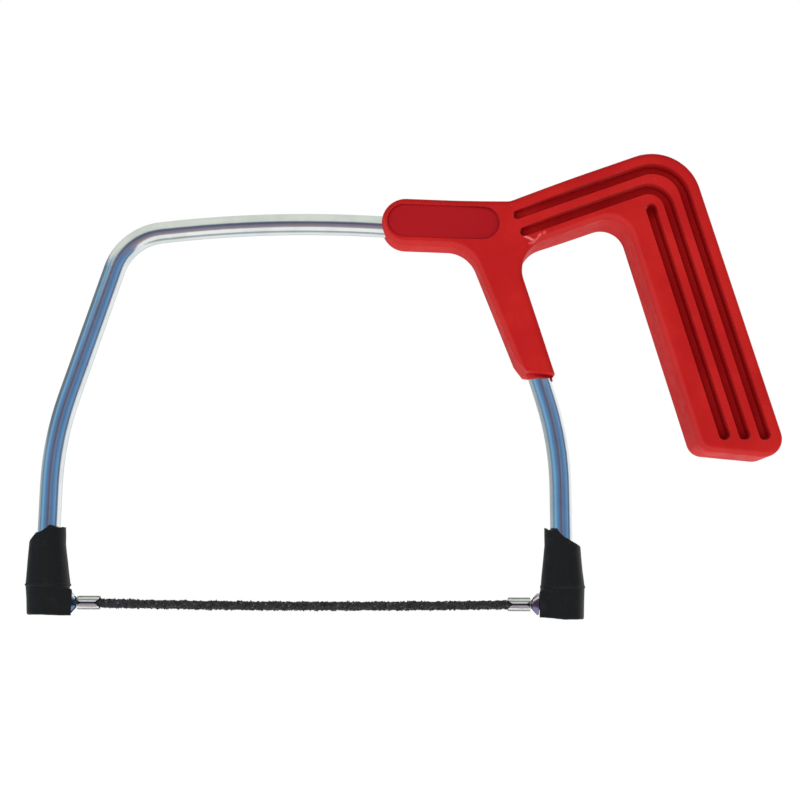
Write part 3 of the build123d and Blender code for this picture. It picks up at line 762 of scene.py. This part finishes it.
def detailed_boot(node, inward, lifts, foot_shift, top_shift, mouth_shifts, drop):
    """Moulded boot: wavy walls, a ragged top edge and a worn seat.
    inward is +1 or -1 towards the blade. foot_shift and top_shift move its walls that way, and
    mouth_shifts the front and the back of its mouth. drop lowers its outer side."""
    low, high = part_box(node)
    axis = (low.x + high.x) / 2
    height = high.z - low.z
    piece = copy_of(node, node + "_moulded")
    remesh = piece.modifiers.new("even", "REMESH")
    remesh.mode = "VOXEL"
    remesh.voxel_size = BOOT_VOXEL
    apply_modifiers(piece)
    for vertex in piece.data.vertices:
        point = vertex.co
        x = point.x - axis
        radial = Vector((x, point.y, 0))
        outside = clamp((radial.length - BOOT_INSIDE_R) / WALL_FADE)
        up = (point.z - low.z) / height
        share = (COLLAR_R - inward * x) / (2 * COLLAR_R)
        top = high.z - BOOT_TOP_FALL * share
        near_top = clamp(1 - (top - point.z) / BOOT_TOP_REACH)
        ragged = BOOT_RAGGED * noise.fractal(point / BOOT_RAGGED_SIZE, 1.0, 2.0, 3)
        lift_share = 1.0 if point.y < 1 * MM else BACK_LIFT
        lift = near_top * (ragged + lift_share * between(lifts, share) * MM)
        near_seat = clamp(1 - (point.z - low.z) / SEAT_REACH)
        worn = SEAT_WEAR * (1 + noise.noise(point / SEAT_WEAR_SIZE))
        lower = near_seat * outside * (worn + drop * clamp(share * 2.2))
        push = outside * BOOT_WAVE * noise.noise(point / BOOT_WAVE_SIZE)
        if radial.length > 0:
            point.x += push * x / radial.length
            point.y += push * point.y / radial.length
        below_mould_line = clamp((MOULD_LINE_UP - up) / MOULD_LINE_FADE)
        at_mouth = below_mould_line * clamp((inward * x - MOUTH_FROM) / MOUTH_FADE)
        shift = foot_shift + (top_shift - foot_shift) * up
        backwards = clamp(0.5 + point.y / (2 * MOUTH_HALF))
        front_shift, back_shift = mouth_shifts
        mouth_shift = front_shift + (back_shift - front_shift) * backwards
        point.x += outside * inward * (shift * (1 - at_mouth) + mouth_shift * at_mouth)
        point.z += lift - lower
    for face in piece.data.polygons:
        face.use_smooth = True
    return piece


# ---------------------------------------------------------------- stage
def floor():
    """Pale floor well below the saw, seen from above only."""
    depth = 0.12
    half = 6.0

    def sheet(work):
        corners = [(-half, -half), (half, -half), (half, half), (-half, half)]
        work.faces.new([work.verts.new((x, y, -depth)) for x, y in corners])

    piece = object_from("floor", sheet)
    material, n = new_material("floor")
    glow = n.make("ShaderNodeEmission", {"Color": (1, 1, 1, 1), "Strength": 1.0})
    matt = n.make("ShaderNodeBsdfDiffuse", {"Color": (0.3, 0.3, 0.3, 1)})
    both = n.make("ShaderNodeAddShader", {0: glow.outputs[0], 1: matt.outputs[0]})
    clear = n.make("ShaderNodeBsdfTransparent")
    to_eye = n.make("ShaderNodeNewGeometry").outputs["Incoming"]
    from_above = n.math("GREATER_THAN", n.make("ShaderNodeSeparateXYZ", {0: to_eye}).outputs["Z"], 0.0)
    mixed = n.make("ShaderNodeMixShader", {0: from_above, 1: clear.outputs[0], 2: both.outputs[0]})
    output = n.make("ShaderNodeOutputMaterial")
    n.tree.links.new(mixed.outputs[0], output.inputs["Surface"])
    piece.data.materials.append(material)
    piece.visible_glossy = False


def studio_world():
    """White behind the saw. Its polished parts see a studio that turns with the camera:
    a bright ceiling, blue-grey walls, a dim bench edge and a white table."""
    world = bpy.data.worlds.new("studio")
    bpy.context.scene.world = world
    world.use_nodes = True
    world.cycles.sampling_method = "NONE"
    n = Nodes(world.node_tree)
    ray = n.vector("NORMALIZE", n.make("ShaderNodeTexCoord").outputs["Generated"])
    turn = n.make("ShaderNodeVectorTransform", {0: (1, 0, 0)}, vector_type="VECTOR",
                  convert_from="CAMERA", convert_to="WORLD")
    right = turn.outputs[0]
    to_viewer = n.vector("CROSS_PRODUCT", right, (0, 0, 1))
    sideways = n.vector("DOT_PRODUCT", ray, right)
    towards = n.vector("DOT_PRODUCT", ray, to_viewer)
    degrees = 180 / math.pi
    azimuth = n.math("MULTIPLY", n.math("ARCTAN2", sideways, towards), degrees)
    aside = n.math("ABSOLUTE", azimuth)
    up = n.make("ShaderNodeSeparateXYZ", {0: ray}).outputs["Z"]
    elevation = n.math("MULTIPLY", n.math("ARCSINE", up), degrees)

    walls = n.ramp(n.even(azimuth, -180, 180), stops_by_angle(WALLS, 360))
    ahead = n.ramp(n.even(elevation, -90, 90), stops_by_angle(HEIGHTS, 180))
    behind = n.ramp(n.even(elevation, -90, 90), stops_by_angle(HEIGHTS_BEHIND, 180))
    heights = n.mix(n.spread(aside, 70, 95), ahead, behind)
    # the walls reach lowest and highest to the sides; all of these numbers are degrees
    wall_foot = n.spread(aside, 25, 50, -4, -44)
    wall_foot = n.mix_values(n.spread(aside, 80, 92), wall_foot, -10)
    above_foot = n.spread(elevation, n.math("SUBTRACT", wall_foot, 4.0), wall_foot)
    wall_top = n.spread(aside, 30, 50, 17, 30)
    below_top = n.spread(elevation, n.math("ADD", wall_top, 3.0), n.math("SUBTRACT", wall_top, 3.0))
    in_walls = n.math("MULTIPLY", above_foot, below_top)
    studio = n.mix(in_walls, heights, walls)
    # a dull patch high on the left
    beside = n.math("MULTIPLY", n.spread(azimuth, -70, -85), n.spread(azimuth, -150, -135))
    level = n.math("MULTIPLY", n.spread(elevation, 10, 15), n.spread(elevation, 34, 27))
    studio = n.mix(n.math("MULTIPLY", beside, level), studio, srgb(112, 124, 132))

    # matt surfaces get soft light, most of it from the camera's side
    soft = n.mix(n.spread(towards, -0.3, 0.9), srgb(118, 118, 120), srgb(214, 212, 210))
    path = n.make("ShaderNodeLightPath")
    seen = n.mix(path.outputs["Is Glossy Ray"], soft, studio)
    seen = n.mix(path.outputs["Is Camera Ray"], seen, (1, 1, 1, 1))
    background = n.make("ShaderNodeBackground", {"Color": seen, "Strength": 1.0})
    output = n.make("ShaderNodeOutputWorld")
    n.tree.links.new(background.outputs[0], output.inputs["Surface"])


def stops_by_angle(stops, whole):
    """Ramp stops from (angle, colour) pairs; angle 0 is the middle of the ramp."""
    return [(0.5 + angle / whole, colour) for angle, colour in stops]


# studio walls by azimuth in degrees: 0 is behind the camera, minus is to its left
WALLS = [
    (-180, srgb(190, 196, 198)),
    (-105, srgb(168, 178, 182)),
    (-90, srgb(100, 128, 152)),
    (-66, srgb(130, 182, 218)),
    (-40, srgb(92, 140, 186)),
    (-20, srgb(100, 118, 150)),
    (-3, srgb(96, 88, 110)),
    (9, srgb(122, 128, 152)),
    (28, srgb(78, 124, 166)),
    (66, srgb(118, 158, 200)),
    (82, srgb(84, 94, 124)),
    (94, srgb(140, 146, 156)),
    (102, srgb(246, 248, 248)),
    (150, srgb(250, 252, 250)),
    (180, srgb(190, 196, 198)),
]
# studio by elevation in degrees, above and below the walls, on the camera's side
HEIGHTS = [
    (-90, srgb(168, 176, 172)),
    (-80, srgb(250, 252, 250)),
    (-48, srgb(252, 254, 252)),
    (-40, srgb(176, 158, 160)),
    (-20, srgb(142, 124, 132)),
    (-12, srgb(118, 128, 148)),
    (12, srgb(122, 138, 156)),
    (20, srgb(170, 184, 186)),
    (28, srgb(222, 226, 212)),
    (60, srgb(228, 232, 220)),
    (90, srgb(226, 230, 220)),
]
# and on the far side
HEIGHTS_BEHIND = [
    (-90, srgb(168, 176, 172)),
    (-72, srgb(176, 184, 180)),
    (-60, srgb(244, 246, 244)),
    (20, srgb(232, 236, 234)),
    (40, srgb(222, 226, 216)),
    (90, srgb(226, 230, 220)),
]


def lamp(name, place, aim, size, watts):
    """Soft square lamp at place, aimed at a point."""
    data = bpy.data.lights.new(name, "AREA")
    data.size = size
    data.energy = watts
    piece = bpy.data.objects.new(name, data)
    piece.location = place
    piece.rotation_euler = (Vector(aim) - Vector(place)).to_track_quat("-Z", "Y").to_euler()
    piece.visible_glossy = False
    bpy.context.scene.collection.objects.link(piece)


CAMERA_FROM_BLADE = Vector((30.145, -388.126, 1.17)) * MM
CAMERA_LENS = 54.405  # millimetres, on a sensor 36 wide
CAMERA_TILT = math.radians(9.4)
CAMERA_ROLL = math.radians(0.24)


def camera():
    """Camera close in front of the blade, tilted up at the saw."""
    data = bpy.data.cameras.new("camera")
    data.sensor_width = 36.0
    data.lens = CAMERA_LENS
    data.clip_start = 0.01
    data.clip_end = 50.0
    piece = bpy.data.objects.new("camera", data)
    level = Matrix.Rotation(math.pi / 2 + CAMERA_TILT, 4, "X")
    turn = level @ Matrix.Rotation(CAMERA_ROLL, 4, "Z")
    piece.matrix_world = Matrix.Translation(BLADE_MIDDLE + CAMERA_FROM_BLADE) @ turn
    bpy.context.scene.collection.objects.link(piece)
    bpy.context.scene.camera = piece


# ---------------------------------------------------------------- putting it together
def paint(node, material):
    """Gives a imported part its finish."""
    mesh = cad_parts[node].data
    mesh.materials.clear()
    mesh.materials.append(material)


def add_piece(piece, body, slot, material, *stands_for):
    """Finish and body of a new piece. The slot argument is not used."""
    piece.data.materials.clear()
    piece.data.materials.append(material)
    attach(piece, body)
    if stands_for:
        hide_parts(*stands_for)


zinc = zinc_steel()
plastic = red_plastic()
rubber = black_rubber()
grit = carbide_grit()
ferrule = rolled_sheet()
plain = bright_metal("blade_steel", srgb(190, 190, 192), srgb(140, 140, 142), 0.25, (1, 0.1, 1))
screw = bright_metal("screw_steel", srgb(206, 206, 200), srgb(160, 158, 150), 0.22, (1, 0.1, 1))

paint("frame_rod", zinc)
for shell in ("handle_front_shell", "handle_rear_shell"):
    paint(shell, plastic)
    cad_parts[shell].visible_glossy = False
for end in ("front", "rear"):
    paint(end + "_anchor_pin", plain)
    rolled = rolled_ferrule(end + "_ferrule")
    add_piece(rolled, "blade", "ferrule_steel", ferrule, end + "_ferrule")
for screw_node in ("bar_screw", "corner_screw", "grip_screw", "grip_end_screw"):
    paint(screw_node, screw)

grit_rod = object_from("grit_rod", make_grit, smooth=False)
add_piece(grit_rod, "blade", "carbide_grit", grit, "grit_coating")
blade_core = object_from("blade_core", make_core)
add_piece(blade_core, "blade", "blade_steel", plain, "blade_wire")
front_boot = detailed_boot(
    "front_boot",
    inward=1,
    lifts=FRONT_TOP_LIFTS,
    foot_shift=1.2 * MM,
    top_shift=-0.55 * MM,
    mouth_shifts=(2.5 * MM, -1.2 * MM),
    drop=-0.2 * MM,
)
add_piece(front_boot, "front_boot", "black_rubber", rubber, "front_boot")
rear_boot = detailed_boot(
    "rear_boot",
    inward=-1,
    lifts=REAR_TOP_LIFTS,
    foot_shift=0.0,
    top_shift=-0.3 * MM,
    mouth_shifts=(0.8 * MM, -0.3 * MM),
    drop=0.6 * MM,
)
add_piece(rear_boot, "rear_boot", "black_rubber", rubber, "rear_boot")
for flash in (leg_flash(), leg_skirt()):
    add_piece(flash, "frame", "red_plastic", plastic)

floor()
studio_world()
lamp("key", place=(-0.55, -0.45, 0.45), aim=(0.02, 0.0, 0.11), size=0.35, watts=0.9)
camera()
bpy.context.scene.view_settings.view_transform = "Standard"
